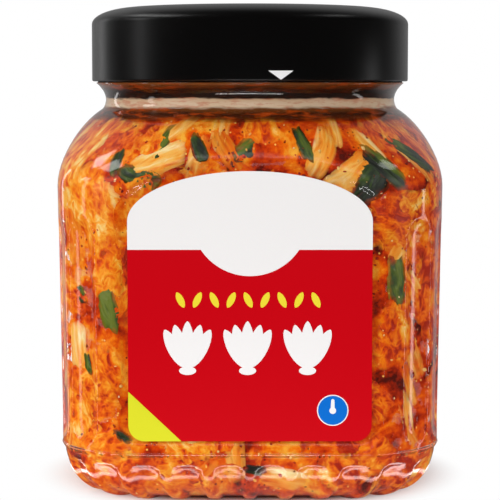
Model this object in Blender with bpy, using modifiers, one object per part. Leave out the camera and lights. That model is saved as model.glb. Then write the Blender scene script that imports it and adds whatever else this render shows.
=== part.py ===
"""A clear PET jar of cut cabbage kimchi with a black screw lid and a front label.

Metres, +Z up, the front faces -Y. The origin is the middle of the foot, on the table.
"""

import math
import random

import bmesh
import bpy
from mathutils import Matrix, Vector, noise

# Body
BODY_HALF = 0.0650          # half the body's width where the shoulder starts
SEAM_HALF = 0.0638          # half its width just above the base seam
CORNER_SHARE = 0.46         # corner radius as a share of the half width; 1 makes a circle
WALL = 0.0010
SHOULDER_Z = 0.1045
SHOULDER_REACH = 0.0237     # the shoulder is a quarter of an ellipse, this far in
SHOULDER_RISE = 0.0286      # and this high

# Neck, a hollow between the shoulder and the flange under the lid. The neck is a solid of its own
# from the waist up.
NECK_Z = 0.1300
WAIST_Z = 0.1332            # where the hollow is narrowest
WAIST_RADIUS = 0.0510
WAIST_BEND = 0.00495        # radius of the hollow's curve
FLANGE_Z = 0.1390
FINISH_RADIUS = 0.0538      # plain wall that the lid turns on
MOUTH_Z = 0.1598            # low enough to clear the lid's rounded edge

# Base
SEAM_Z = 0.0175
SEAM_RIDGE = 0.0003         # how far the seam stands out
SEAM_RUN = 0.0007           # how far above and below it the wall is plain again
HEEL_HALF = 0.0630
HEEL_INSET = 0.0134         # the heel is a quarter of an ellipse, this far in
HEEL_RISE = 0.0168          # and this high
FOOT_RING = 0.0085          # width of the flat ring that the jar stands on
PUSH_UP = 0.0035            # how far the middle of the base is pushed up

# Arched label panel, pressed into the front and the back
PANEL_DEPTH = 0.0020
PANEL_SLOPE = 1.4           # how much wider the panel grows for each unit of height above its floor
PANEL_HALF = 0.0430
PANEL_LOW_Z = 0.0206
PANEL_SPRING_Z = 0.0938     # where the straight sides end and the arch begins
PANEL_ARCH = 0.0190
PANEL_CORNER = 0.0070

# Upright grip flutes, from the front corner to the back corner on each side
FLUTES_A_SIDE = 8
FLUTE_LOW_Z, FLUTE_HIGH_Z = 0.0195, 0.0950
FLUTE_HALF = 0.0066
FLUTE_DEPTH = 0.0012
FLUTE_BELLY = 0.0019        # semi-axis of the cutter's oval, square to the wall

# Scallops pressed into the heel all round
SCALLOPS_A_QUARTER = 8
SCALLOP_Z = 0.0082
SCALLOP_SIZE = Vector((0.0064, 0.0024, 0.0070))    # semi-axes of its oval: along, into and up the wall
SCALLOP_DEPTH = 0.0009

# Lid
LID_RADIUS = 0.0558
LID_LOW_Z, LID_TOP_Z = 0.1395, 0.1653
LID_EDGE_IN, LID_EDGE_DOWN = 0.0155, 0.0058        # how far the rounded edge runs in and down
LID_CHAMFER = 0.0005
LID_DISH = 0.0005           # depth of the shallow dish in the top
LID_DISH_EDGE = 0.0020      # width of the step around it
LID_WALL = 0.0018           # thickness of the lid's top in the middle
LID_SEAL = 0.0030           # width of the flat face that closes on the mouth's rim
CLEARANCE = 0.0003

# Label
LABEL_HALF = 0.0399
LABEL_LOW_Z, LABEL_SPRING_Z, LABEL_TOP_Z = 0.0217, 0.0940, 0.1104
LABEL_CORNER = 0.0053
LABEL_THICKNESS = 0.0003

# Kimchi
KIMCHI_TOP_Z = 0.1250       # mean level of the heap
HEAP_LOW_Z = 0.0062         # lowest level of the heap
KIMCHI_GAP = 0.0005         # between the wall and the pieces
CORE_DEPTH = 0.0016         # the bare core lies this far behind the pieces' faces
SIDE_DROP = 0.0040          # the heap is this much lower at the wall
CORE_BUMP = 0.0007          # how uneven the core's sides are
TOP_BUMP = 0.0030           # and its top
FLUTE_FADE = 0.0040         # height over which the heap draws in behind the flutes
WALL_ROWS, WALL_COLUMNS = 5, 12
WALL_LOW_Z, WALL_HIGH_Z = 0.0210, 0.1090           # middles of the lowest and highest row
TOP_PIECES, TOP_REACH = 9, 0.0360
LEAF_THICKNESS, STRIP_THICKNESS = 0.0014, 0.0012
SEED = 7

TURNING_STEPS = 44
CLEAR = ((0.93, 0.95, 0.95), 0.05, 0.3)            # the plastic's colour, roughness and alpha

FLAT = BODY_HALF * (1 - CORNER_SHARE)
CORNER_ARC = BODY_HALF * CORNER_SHARE * math.pi / 2
QUARTER = 2 * FLAT + CORNER_ARC
FLAT_ANGLE = math.radians(0.1)     # below this, neighbouring faces count as one
SHORTEST = 0.000002                # edges shorter than this are closed up
LEAN = (BODY_HALF - SEAM_HALF) / (SHOULDER_Z - SEAM_Z)


def mix(low, high, share):
    return low + (high - low) * share


def smooth(share):
    share = min(1.0, max(0.0, share))
    return share * share * (3 - 2 * share)


def half_width(z):
    """Half the jar's width across its flats at height z."""
    if z > FLANGE_Z:
        return FINISH_RADIUS
    if z >= NECK_Z:
        return WAIST_RADIUS + (z - WAIST_Z) ** 2 / (2 * WAIST_BEND)
    if z >= SHOULDER_Z:
        rise = (z - SHOULDER_Z) / SHOULDER_RISE
        return BODY_HALF - SHOULDER_REACH * (1 - math.sqrt(1 - rise * rise))
    if z >= HEEL_RISE:
        return SEAM_HALF + LEAN * (z - SEAM_Z)
    fall = 1 - z / HEEL_RISE
    return HEEL_HALF - HEEL_INSET * (1 - math.sqrt(1 - fall * fall))


def corner_share(z):
    return mix(CORNER_SHARE, 1.0, smooth((z - SHOULDER_Z) / (NECK_Z - SHOULDER_Z)))


def direction(length):
    """Angle from the axis to the point this far round the body from the middle of the front."""
    quadrant, along = divmod(length, QUARTER)
    if along < FLAT:
        angle = math.atan2(along, BODY_HALF)
    elif along > QUARTER - FLAT:
        angle = math.pi / 2 - math.atan2(QUARTER - along, BODY_HALF)
    else:
        turn = (along - FLAT) / (BODY_HALF * CORNER_SHARE)
        radius = BODY_HALF - FLAT
        angle = math.atan2(FLAT + radius * math.sin(turn), FLAT + radius * math.cos(turn))
    return angle + quadrant * math.pi / 2


def on_section(angle, width, share):
    """A point on a square with rounded corners. Angle 0 is the middle of the front."""
    c, s = abs(math.cos(angle)), abs(math.sin(angle))
    radius = width * share
    flat = width - radius
    if min(c, s) * width <= flat * max(c, s):
        reach = width / max(c, s)
    else:
        reach = flat * (c + s) + math.sqrt(radius ** 2 - (flat * (c - s)) ** 2)
    return Vector((reach * math.sin(angle), -reach * math.cos(angle), 0))


def wall_point(length, z, inset=0.0):
    point = on_section(direction(length), half_width(z) - inset, corner_share(z))
    point.z = z
    return point


def link(name, mesh, collection):
    made = bpy.data.objects.new(name, mesh)
    collection.objects.link(made)
    return made


def paint(item, colour, roughness, alpha=1.0):
    material = bpy.data.materials.new(item.name + "_material")
    material.use_nodes = True
    shader = material.node_tree.nodes["Principled BSDF"]
    shader.inputs["Base Color"].default_value = (*colour, 1.0)
    shader.inputs["Roughness"].default_value = roughness
    shader.inputs["Metallic"].default_value = 0.0
    shader.inputs["Alpha"].default_value = alpha
    item.data.materials.append(material)


def new_collection(name):
    made = bpy.data.collections.new(name)
    bpy.context.scene.collection.children.link(made)
    return made


def as_cutter(item):
    item.hide_render = True
    item.display_type = "WIRE"
    return item


def loft(rings):
    """A closed solid through rings of points, each anticlockwise as seen from the next ring."""
    shape = bmesh.new()
    made = [[shape.verts.new(point) for point in ring] for ring in rings]
    for lower, upper in zip(made, made[1:]):
        for i in range(len(lower)):
            j = (i + 1) % len(lower)
            shape.faces.new((lower[i], lower[j], upper[j], upper[i]))
    shape.faces.new(list(reversed(made[0])))
    shape.faces.new(made[-1])
    return shape


def finish(shape, name, collection):
    """Makes the object. Its faces are split first, because a bent quad has no one surface to cut."""
    mesh = bpy.data.meshes.new(name)
    bmesh.ops.triangulate(shape, faces=shape.faces)
    bmesh.ops.recalc_face_normals(shape, faces=shape.faces)
    shape.to_mesh(mesh)
    shape.free()
    return link(name, mesh, collection)


def body_profile():
    """Half width and height of each section, from the foot to the waist."""
    heel_steps, shoulder_steps, neck_steps = 6, 7, 2
    heights = [HEEL_RISE * (1 - math.cos(math.pi / 2 * i / heel_steps)) for i in range(heel_steps)]
    heights += [SEAM_Z - SEAM_RUN, SEAM_Z + SEAM_RUN, (SEAM_Z + SHOULDER_Z) / 2]
    top_turn = math.asin((NECK_Z - SHOULDER_Z) / SHOULDER_RISE)
    shoulder = [top_turn * i / shoulder_steps for i in range(shoulder_steps)]
    heights += [SHOULDER_Z + SHOULDER_RISE * math.sin(turn) for turn in shoulder]
    heights += [mix(NECK_Z, WAIST_Z - CLEARANCE / 2, i / neck_steps) for i in range(neck_steps + 1)]
    return [(half_width(z), z) for z in heights]


def moved_in(profile, inset):
    """The profile moved inwards, square to its own slope."""
    moved = []
    for i, (width, z) in enumerate(profile):
        before, after = profile[max(i - 1, 0)], profile[min(i + 1, len(profile) - 1)]
        slope = Vector((after[0] - before[0], after[1] - before[1])).normalized()
        depth = inset + (SCALLOP_DEPTH if z < SEAM_Z else 0)
        moved.append((width - depth * slope.y, z + depth * slope.x))
    return moved


def section_ring(width, z, shape_z):
    corner_steps = 5
    quarter = [0, FLAT / 2] + [FLAT + CORNER_ARC * i / corner_steps for i in range(corner_steps + 1)]
    quarter.append(QUARTER - FLAT / 2)
    ring = []
    for side in range(4):
        for length in quarter:
            point = on_section(direction(side * QUARTER + length), width, corner_share(shape_z))
            ring.append(Vector((point.x, point.y, z)))
    return ring


def make_outer_form(collection):
    rings = []
    foot = half_width(0)
    rings.append(section_ring(foot * 0.5, PUSH_UP, 0))
    rings.append(section_ring(foot - FOOT_RING, 0, 0))
    for width, z in body_profile():
        rings.append(section_ring(width, z, z))
        if z == SEAM_Z - SEAM_RUN:
            rings.append(section_ring(SEAM_HALF + SEAM_RIDGE, SEAM_Z, z))
    return finish(loft(rings), "jar", collection)


def make_cavity(collection):
    """What is cut out of the form. It runs out past the top."""
    profile = body_profile()
    rings = [section_ring(half_width(0) * 0.5, PUSH_UP + WALL + SCALLOP_DEPTH, 0)]
    for (_, shape_z), (width, z) in zip(profile, moved_in(profile, WALL)):
        rings.append(section_ring(width, z, shape_z))
    rings[-1] = section_ring(WAIST_RADIUS - WALL, WAIST_Z + WALL, WAIST_Z)
    return as_cutter(finish(loft(rings), "cavity", collection))


def arched_outline(half, low_z, spring_z, rise, corner, steps):
    """X and Z of an outline with rounded lower corners and an arched top, from the lower left."""
    points = []
    for side, first in ((-1, 180), (1, 270)):
        for i in range(4):
            turn = math.radians(first + 30 * i)
            points.append((side * (half - corner) + corner * math.cos(turn),
                           low_z + corner * (1 + math.sin(turn))))
    for i in range(steps + 1):
        turn = math.pi * i / steps
        points.append((half * math.cos(turn), spring_z + rise * math.sin(turn)))
    return points


def make_panel_cutter(collection, facing, depth, extra):
    """A block whose sides widen outwards, with its floor this deep in the front or back face."""
    rings = []
    for height in (0.0, depth + 0.003):
        grow = extra + PANEL_SLOPE * height
        outline = arched_outline(PANEL_HALF + grow, PANEL_LOW_Z - grow, PANEL_SPRING_Z,
                                 PANEL_ARCH + grow, PANEL_CORNER + grow, 16)
        floor = SEAM_HALF - depth + height
        rings.append([Vector((x, -floor - LEAN * (z - SEAM_Z), z)) for x, z in outline])
    shape = loft(rings)
    bmesh.ops.rotate(shape, matrix=Matrix.Rotation(facing, 3, "Z"), verts=shape.verts)
    return as_cutter(finish(shape, "panel_cutter", collection))


def wall_axes(length, low_z, high_z):
    """Turns and moves a cutter to the wall: its X along the wall, Y outwards, Z up the wall."""
    low, high = wall_point(length, low_z), wall_point(length, high_z)
    up = (high - low).normalized()
    along = wall_point(length + 0.0005, low_z) - wall_point(length - 0.0005, low_z)
    outward = along.cross(up).normalized()
    along = up.cross(outward) * -1
    turned = Matrix((along, outward, up)).transposed().to_4x4()
    return Matrix.Translation((low + high) / 2) @ turned


def make_flute_cutter(collection, length, extra):
    """A long oval capsule that stands half out of the wall."""
    half, belly = FLUTE_HALF + extra, FLUTE_BELLY + extra
    shape = bmesh.new()
    bmesh.ops.create_uvsphere(shape, u_segments=12, v_segments=5, radius=1.0)
    run = (FLUTE_HIGH_Z - FLUTE_LOW_Z) / 2 - FLUTE_HALF
    bmesh.ops.scale(shape, vec=(half, belly, half), verts=shape.verts)
    for vertex in shape.verts:
        vertex.co.z += math.copysign(run, vertex.co.z)
    bmesh.ops.translate(shape, vec=(0, FLUTE_BELLY - FLUTE_DEPTH, 0), verts=shape.verts)
    bmesh.ops.transform(shape, matrix=wall_axes(length, FLUTE_LOW_Z, FLUTE_HIGH_Z), verts=shape.verts)
    return as_cutter(finish(shape, "flute_cutter", collection))


def make_scallop_cutter(collection, length):
    shape = bmesh.new()
    bmesh.ops.create_uvsphere(shape, u_segments=8, v_segments=5, radius=1.0)
    bmesh.ops.scale(shape, vec=SCALLOP_SIZE, verts=shape.verts)
    bmesh.ops.translate(shape, vec=(0, SCALLOP_SIZE.y - SCALLOP_DEPTH, 0), verts=shape.verts)
    axes = wall_axes(length, SCALLOP_Z - 0.002, SCALLOP_Z + 0.002)
    bmesh.ops.transform(shape, matrix=axes, verts=shape.verts)
    return as_cutter(finish(shape, "scallop_cutter", collection))


def make_wall_cutters(collection, extra):
    """Panels and flutes, grown by extra for the cavity so that the wall keeps its thickness."""
    for facing in (0, math.pi):
        make_panel_cutter(collection, facing, PANEL_DEPTH + extra, extra * 0.6)
    for side in (0, 2):
        for i in range(FLUTES_A_SIDE):
            place = side * QUARTER + FLAT + CORNER_ARC / 2 + QUARTER * i / (FLUTES_A_SIDE - 1)
            make_flute_cutter(collection, place, extra)


def cut(item, name, with_object=None, with_collection=None):
    boolean = item.modifiers.new(name, "BOOLEAN")
    boolean.operation = "DIFFERENCE"
    boolean.solver = "MANIFOLD"
    if with_object:
        boolean.object = with_object
    else:
        boolean.operand_type = "COLLECTION"
        boolean.collection = with_collection
    return boolean


def make_jar(collection):
    outer_cutters = new_collection("outer_cutters")
    inner_cutters = new_collection("inner_cutters")
    cavities = new_collection("cavities")
    make_wall_cutters(outer_cutters, 0.0)
    make_wall_cutters(inner_cutters, WALL)
    for i in range(4 * SCALLOPS_A_QUARTER):
        make_scallop_cutter(outer_cutters, QUARTER * (i + 0.5) / SCALLOPS_A_QUARTER)
    jar = make_outer_form(collection)
    cavity = make_cavity(cavities)
    cut(cavity, "keep_wall", with_collection=inner_cutters)
    cut(jar, "press", with_collection=outer_cutters)
    cut(jar, "hollow", with_object=cavity)
    flat = jar.modifiers.new("flat", "DECIMATE")
    flat.decimate_type = "DISSOLVE"
    flat.angle_limit = FLAT_ANGLE
    jar.modifiers.new("triangles", "TRIANGULATE")
    paint(jar, *CLEAR)
    return jar


def turned(name, profile, closed, collection):
    """A profile of radii and heights turned round the axis."""
    mesh = bpy.data.meshes.new(name)
    edges = [(i, i + 1) for i in range(len(profile) - 1)]
    if closed:
        edges.append((len(profile) - 1, 0))
    mesh.from_pydata([(radius, 0, z) for radius, z in profile], edges, [])
    item = link(name, mesh, collection)
    turning = item.modifiers.new("turn", "SCREW")
    turning.steps = turning.render_steps = TURNING_STEPS
    turning.use_merge_vertices = True
    turning.merge_threshold = 0.00001
    return item


def make_neck(collection):
    """The upper half of the hollow, its flange, and the plain wall under the lid."""
    steps = 4
    heights = [mix(FLANGE_Z, WAIST_Z + CLEARANCE / 2, i / steps) for i in range(steps + 1)]
    curve = [(half_width(z), z) for z in heights]
    profile = [(FINISH_RADIUS, MOUTH_Z), (FINISH_RADIUS, FLANGE_Z)] + curve
    profile += [(radius - WALL, z) for radius, z in reversed(curve) if radius < FINISH_RADIUS]
    profile += [(FINISH_RADIUS - WALL, FLANGE_Z), (FINISH_RADIUS - WALL, MOUTH_Z)]
    neck = turned("neck", profile, True, collection)
    paint(neck, *CLEAR)
    return neck


def make_lid(collection):
    """A turned cap: a shallow dish in the top, a rounded edge, a skirt, and a hollow for the neck."""
    edge_steps = 5
    rim = LID_RADIUS - LID_EDGE_IN
    profile = [(0, LID_TOP_Z - LID_DISH), (rim - LID_DISH_EDGE, LID_TOP_Z - LID_DISH)]
    for i in range(edge_steps + 1):
        turn = math.pi / 2 * i / edge_steps
        down = 1 - math.cos(turn)
        profile.append((rim + LID_EDGE_IN * math.sin(turn), LID_TOP_Z - LID_EDGE_DOWN * down))
    inside = FINISH_RADIUS + 2 * CLEARANCE
    seal_z = MOUTH_Z + CLEARANCE
    under_top = LID_TOP_Z - LID_DISH - LID_WALL
    profile += [(LID_RADIUS, LID_LOW_Z + LID_CHAMFER), (LID_RADIUS - LID_CHAMFER, LID_LOW_Z)]
    profile += [(inside, LID_LOW_Z), (inside, seal_z), (inside - LID_SEAL, seal_z)]
    profile += [(rim, under_top), (0, under_top)]
    lid = turned("lid", profile, False, collection)
    paint(lid, (0.012, 0.011, 0.010), 0.2)
    return lid


def make_label(collection):
    """A flat outline that leans with the panel's floor and stands just clear of it."""
    curve = bpy.data.curves.new("label", "CURVE")
    curve.dimensions = "2D"
    curve.fill_mode = "BOTH"
    curve.extrude = LABEL_THICKNESS / 2
    points = arched_outline(LABEL_HALF, LABEL_LOW_Z, LABEL_SPRING_Z,
                            LABEL_TOP_Z - LABEL_SPRING_Z, LABEL_CORNER, 24)
    spline = curve.splines.new("POLY")
    spline.points.add(len(points) - 1)
    for point, (x, z) in zip(spline.points, points):
        point.co = (x, z, 0, 1)
    spline.use_cyclic_u = True
    label = link("label", curve, collection)
    behind = PANEL_DEPTH - CLEARANCE - LABEL_THICKNESS / 2
    label.rotation_euler = (math.pi / 2 + math.atan(LEAN), 0, 0)
    label.location = (0, behind - (SEAM_HALF - LEAN * SEAM_Z), 0)
    paint(label, (0.60, 0.002, 0.004), 0.35)
    return label


def heap_point(length, z, depth):
    """A place in the heap, this far behind the faces of the pieces that lie against the wall."""
    z = max(z, HEAP_LOW_Z)
    flute = FLUTE_DEPTH * smooth((FLUTE_HIGH_Z + FLUTE_FADE - z) / FLUTE_FADE)
    steep = -2 * WALL if z < SEAM_Z else 2 * WALL if z > SHOULDER_Z else 0
    point = wall_point(length, z + steep, WALL + KIMCHI_GAP + flute + depth)
    point.z = z
    limit = SEAM_HALF + LEAN * (z - SEAM_Z) - PANEL_DEPTH - WALL - KIMCHI_GAP - depth
    point.y = max(-limit, min(limit, point.y))
    return point


def make_core(collection):
    """The bare core of the heap, a little behind the wall, with an uneven top."""
    columns, rows = 28, 6
    side_top = KIMCHI_TOP_Z - SIDE_DROP
    rings = []
    for row in range(rows + 1):
        z = mix(HEAP_LOW_Z, side_top, row / rows)
        ring = []
        for column in range(columns):
            length = 4 * QUARTER * column / columns
            bump = CORE_BUMP * noise.noise(Vector((length * 90, z * 90, 3)))
            ring.append(heap_point(length, z, CORE_DEPTH + bump))
        rings.append(ring)
    for reach in (0.7, 0.35):
        ring = []
        for point in rings[rows]:
            x, y = point.x * reach, point.y * reach
            bump = TOP_BUMP * noise.noise(Vector((x * 70, y * 70, 5)))
            ring.append(Vector((x, y, KIMCHI_TOP_Z + bump)))
        rings.append(ring)
    return finish(loft(rings), "kimchi", collection)


def cabbage_stem(size, draw):
    """A thick piece of cabbage rib: a box cut across its length, arched and narrowed at the ends."""
    shape = bmesh.new()
    bmesh.ops.create_cube(shape, size=2.0)
    along = [e for e in shape.edges if abs(e.verts[0].co.x - e.verts[1].co.x) > 1]
    bmesh.ops.subdivide_edges(shape, edges=along, cuts=2)
    arch = draw.uniform(0.1, 0.3)
    for vertex in shape.verts:
        x, y, z = vertex.co
        vertex.co = Vector((x, y * (1 - 0.16 * x ** 4), z * (1 - 0.25 * y ** 2) + arch * x ** 2))
    bmesh.ops.scale(shape, vec=size / 2, verts=shape.verts)
    return shape


def cabbage_leaf(size, draw):
    """A wavy piece of leaf: a grid cut into triangles and then thickened, so that both sides match."""
    shape = bmesh.new()
    bmesh.ops.create_grid(shape, x_segments=3, y_segments=2, size=1.0)
    bmesh.ops.triangulate(shape, faces=shape.faces)
    shift = draw.uniform(0, 10)
    for vertex in shape.verts:
        x, y, _ = vertex.co
        wave = math.sin(3.1 * x + shift) * 0.5 + math.sin(4.3 * y + 2 * shift) * 0.4
        vertex.co = Vector((x * (1 - 0.15 * y ** 2), y, wave))
    bmesh.ops.scale(shape, vec=(size.x / 2, size.y / 2, size.z), verts=shape.verts)
    bmesh.ops.solidify(shape, geom=list(shape.faces), thickness=LEAF_THICKNESS)
    return shape


def green_strip(size, draw):
    """A cut length of green leaf: a narrow curved strip with a slow twist."""
    shape = bmesh.new()
    bmesh.ops.create_grid(shape, x_segments=4, y_segments=1, size=1.0)
    bmesh.ops.triangulate(shape, faces=shape.faces)
    curl = draw.uniform(-0.5, 0.5)
    for vertex in shape.verts:
        x, y, _ = vertex.co
        vertex.co = Vector((x, y + curl * x ** 2, 0.3 * x * y))
    bmesh.ops.scale(shape, vec=(size.x / 2, size.y / 2, size.z), verts=shape.verts)
    bmesh.ops.solidify(shape, geom=list(shape.faces), thickness=STRIP_THICKNESS)
    return shape


# Maker and size of each kind of piece
KINDS = (
    (cabbage_stem, Vector((0.032, 0.0150, 0.0044))),
    (cabbage_leaf, Vector((0.030, 0.0210, 0.0012))),
    (green_strip, Vector((0.027, 0.0066, 0.0012))),
)
KIND_ORDER = (0, 1, 0, 2, 0, 1, 0)


def lay(shape, collection, place):
    """Puts a piece in the heap. Each of its points goes through place."""
    for vertex in shape.verts:
        vertex.co = place(vertex.co)
    return finish(shape, "piece", collection)


def against_wall(shape, length, z, turn, depth):
    """A place for a piece that bends with the wall, with its foremost point this far behind it."""
    c, s = math.cos(turn), math.sin(turn)
    foremost = max(vertex.co.z for vertex in shape.verts)

    def place(point):
        along, up = point.x * c - point.y * s, point.x * s + point.y * c
        return heap_point(length + along, z + up, depth + foremost - point.z)

    return place


def on_top(x, y, turn, z):
    """A place for a piece that lies on top of the heap."""
    matrix = Matrix.Translation((x, y, z)) @ Matrix.Rotation(turn, 4, "Z")
    return lambda point: matrix @ point


def fill_heap(collection):
    """Staggered rows against the wall and a spiral on top, nudged, turned and sized at random."""
    draw = random.Random(SEED)
    for row in range(WALL_ROWS):
        for column in range(WALL_COLUMNS):
            maker, size = KINDS[KIND_ORDER[(row * 3 + column) % len(KIND_ORDER)]]
            shift = 0.5 * (row % 2) + draw.uniform(-0.2, 0.2)
            length = 4 * QUARTER * (column + shift) / WALL_COLUMNS
            z = mix(WALL_LOW_Z, WALL_HIGH_Z, row / (WALL_ROWS - 1)) + draw.uniform(-0.005, 0.005)
            shape = maker(size * draw.uniform(0.8, 1.1), draw)
            depth = draw.uniform(0, 0.0008)
            place = against_wall(shape, length, z, draw.uniform(0, math.pi), depth)
            lay(shape, collection, place)
    for i in range(TOP_PIECES):
        maker, size = KINDS[KIND_ORDER[i % len(KIND_ORDER)]]
        turn, reach = i * 2.4, TOP_REACH * math.sqrt((i + 0.5) / TOP_PIECES)
        place = on_top(reach * math.cos(turn), reach * math.sin(turn), draw.uniform(0, 3), KIMCHI_TOP_Z)
        lay(maker(size * draw.uniform(0.8, 1.1), draw), collection, place)


def keep_largest_shell(mesh):
    """Drops loose scraps, and the walls of hollows that fusing has sealed."""
    shape = bmesh.new()
    shape.from_mesh(mesh)
    bmesh.ops.remove_doubles(shape, verts=shape.verts, dist=SHORTEST)
    bmesh.ops.dissolve_limit(shape, angle_limit=FLAT_ANGLE, verts=shape.verts, edges=shape.edges)
    bmesh.ops.triangulate(shape, faces=shape.faces)
    shells, seen = [], set()
    for first in shape.faces:
        if first in seen:
            continue
        shell, waiting = [], [first]
        seen.add(first)
        while waiting:
            face = waiting.pop()
            shell.append(face)
            for edge in face.edges:
                if len(edge.link_faces) == 2:
                    fresh = [f for f in edge.link_faces if f not in seen]
                    seen.update(fresh)
                    waiting.extend(fresh)
        shells.append(shell)
    shells.sort(key=len)
    for shell in shells[:-1]:
        bmesh.ops.delete(shape, geom=shell, context="FACES")
    shape.to_mesh(mesh)
    shape.free()


def make_kimchi(collection):
    kimchi = make_core(collection)
    pieces = new_collection("pieces")
    fill_heap(pieces)
    union = kimchi.modifiers.new("union", "BOOLEAN")
    union.operation = "UNION"
    union.solver = "MANIFOLD"
    union.operand_type = "COLLECTION"
    union.collection = pieces
    graph = bpy.context.evaluated_depsgraph_get()
    fused = bpy.data.meshes.new_from_object(kimchi.evaluated_get(graph))
    kimchi.modifiers.clear()
    kimchi.data = fused
    for piece in list(pieces.objects):
        bpy.data.objects.remove(piece)
    bpy.data.collections.remove(pieces)
    keep_largest_shell(fused)
    paint(kimchi, (0.75, 0.24, 0.05), 0.4)
    return kimchi


def main():
    for old in list(bpy.data.objects):
        bpy.data.objects.remove(old)
    parts = new_collection("kimchi_jar")
    make_jar(parts)
    make_neck(parts)
    make_lid(parts)
    make_label(parts)
    make_kimchi(parts)


main()
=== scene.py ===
import math
import random

import bmesh
import bpy
import numpy as np
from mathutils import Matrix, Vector, noise


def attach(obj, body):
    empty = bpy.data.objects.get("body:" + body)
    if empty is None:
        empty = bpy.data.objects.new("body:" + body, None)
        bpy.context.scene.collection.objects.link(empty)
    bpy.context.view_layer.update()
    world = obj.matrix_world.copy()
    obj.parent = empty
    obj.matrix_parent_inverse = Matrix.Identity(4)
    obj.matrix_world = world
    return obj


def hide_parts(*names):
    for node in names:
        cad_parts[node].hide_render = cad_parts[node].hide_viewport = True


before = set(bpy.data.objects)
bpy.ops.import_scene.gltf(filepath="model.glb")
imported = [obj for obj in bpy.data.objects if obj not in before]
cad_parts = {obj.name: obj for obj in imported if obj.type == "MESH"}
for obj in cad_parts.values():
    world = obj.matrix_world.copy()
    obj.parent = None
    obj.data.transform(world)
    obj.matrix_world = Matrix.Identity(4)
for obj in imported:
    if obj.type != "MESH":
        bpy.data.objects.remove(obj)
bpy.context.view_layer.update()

mm = 0.001
look = bpy.context.scene
print("frame loaded")


# small helpers

def linearColour(code, alpha=1.0):
    parts = [int(code[i:i + 2], 16) / 255 for i in (1, 3, 5)]
    return [c / 12.92 if c <= 0.04045 else ((c + 0.055) / 1.055) ** 2.4 for c in parts] + [alpha]


def addNode(tree, kind, settings=None, **links):
    # a link's name is the socket's name with _ for spaces, or i and the socket's number, and its value
    # is a number, a colour or another node's output
    node = tree.nodes.new(kind)
    for key, value in (settings or {}).items():
        setattr(node, key, value)
    for key, value in links.items():
        byNumber = key[0] == "i" and key[1:].isdigit()
        socket = node.inputs[int(key[1:]) if byNumber else key.replace("_", " ")]
        if isinstance(value, bpy.types.NodeSocket):
            tree.links.new(value, socket)
        else:
            socket.default_value = value
    return node


def newMaterial(name):
    made = bpy.data.materials.new(name)
    made.use_nodes = True
    made.node_tree.nodes.clear()
    return made, made.node_tree


def closeMaterial(tree, shader):
    out = tree.nodes.new("ShaderNodeOutputMaterial")
    tree.links.new(shader, out.inputs["Surface"])


def ramp(tree, fac, stops):
    node = addNode(tree, "ShaderNodeValToRGB", Fac=fac)
    band = node.color_ramp
    while len(band.elements) < len(stops):
        band.elements.new(0.5)
    for element, (place, colour) in zip(band.elements, stops):
        element.position = place
        element.color = linearColour(colour) if isinstance(colour, str) else (colour, colour, colour, 1)
    return node.outputs["Color"]


def mathNode(tree, operation, a, b, c=0.0):
    return addNode(tree, "ShaderNodeMath", {"operation": operation}, i0=a, i1=b, i2=c).outputs[0]


def mixColour(tree, share, low, high):
    return addNode(tree, "ShaderNodeMix", {"data_type": "RGBA"}, i0=share, i6=low, i7=high).outputs[2]


def pieceFrom(name, shape, material, slot, smooth=True):
    mesh = bpy.data.meshes.new(name)
    shape.to_mesh(mesh)
    shape.free()
    made = bpy.data.objects.new(name, mesh)
    look.collection.objects.link(made)
    if material:
        mesh.materials.append(material)
    if smooth:
        mesh.shade_smooth()
    if slot:
        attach(made, "root")
    return made


def spinProfile(profile, columns):
    shape = bmesh.new()
    points = [shape.verts.new((0, -radius, z)) for radius, z in profile]
    edges = [shape.edges.new(pair) for pair in zip(points, points[1:])]
    bmesh.ops.spin(shape, geom=points + edges, cent=(0, 0, 0), axis=(0, 0, 1), dvec=(0, 0, 0),
                   angle=2 * math.pi, steps=columns, use_merge=True)
    bmesh.ops.remove_doubles(shape, verts=shape.verts, dist=0.001 * mm)
    return shape


# the jar's wall as a formula, the same as the solids': s runs round the body from the middle of
# the front, z is height, and both may be arrays

wall = {
    "bodyHalf": 65.0 * mm, "seamHalf": 63.8 * mm, "cornerShare": 0.46, "thickness": 1.0 * mm,
    "shoulderZ": 104.5 * mm, "shoulderReach": 23.7 * mm, "shoulderRise": 28.6 * mm,
    "neckZ": 130.0 * mm, "waistZ": 133.2 * mm, "waistRadius": 51.0 * mm, "waistBend": 4.95 * mm,
    "flangeZ": 139.0 * mm, "finishRadius": 53.8 * mm, "mouthZ": 159.8 * mm,
    "seamZ": 17.5 * mm, "seamRidge": 0.3 * mm, "seamWide": 0.30 * mm, "heelHalf": 63.0 * mm,
    "heelInset": 13.4 * mm, "heelRise": 16.8 * mm, "footRing": 8.5 * mm, "pushUp": 3.5 * mm,
}
panel = {
    "depth": 2.0 * mm, "slope": 1.4, "half": 43.0 * mm, "lowZ": 20.6 * mm, "springZ": 93.8 * mm,
    "arch": 19.0 * mm, "corner": 7.0 * mm, "softness": 0.25 * mm,
}
flute = {
    "perSide": 8, "lowZ": 19.5 * mm, "highZ": 95.0 * mm, "half": 6.6 * mm, "belly": 1.9 * mm,
    "depth": 1.2 * mm, "softness": 0.12 * mm,
}
scallop = {
    "perQuarter": 8, "topZ": 14.0 * mm, "half": 5.6 * mm, "arch": 2.0 * mm, "depth": 1.25 * mm,
    "edge": 1.9 * mm, "lift": 0.9 * mm, "liftTo": 7.0 * mm,
}
flat = wall["bodyHalf"] * (1 - wall["cornerShare"])
cornerRadius = wall["bodyHalf"] * wall["cornerShare"]
cornerArc = cornerRadius * math.pi / 2
quarter = 2 * flat + cornerArc
lean = (wall["bodyHalf"] - wall["seamHalf"]) / (wall["shoulderZ"] - wall["seamZ"])


def smoothStep(x):
    x = np.clip(x, 0, 1)
    return x * x * (3 - 2 * x)


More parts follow.
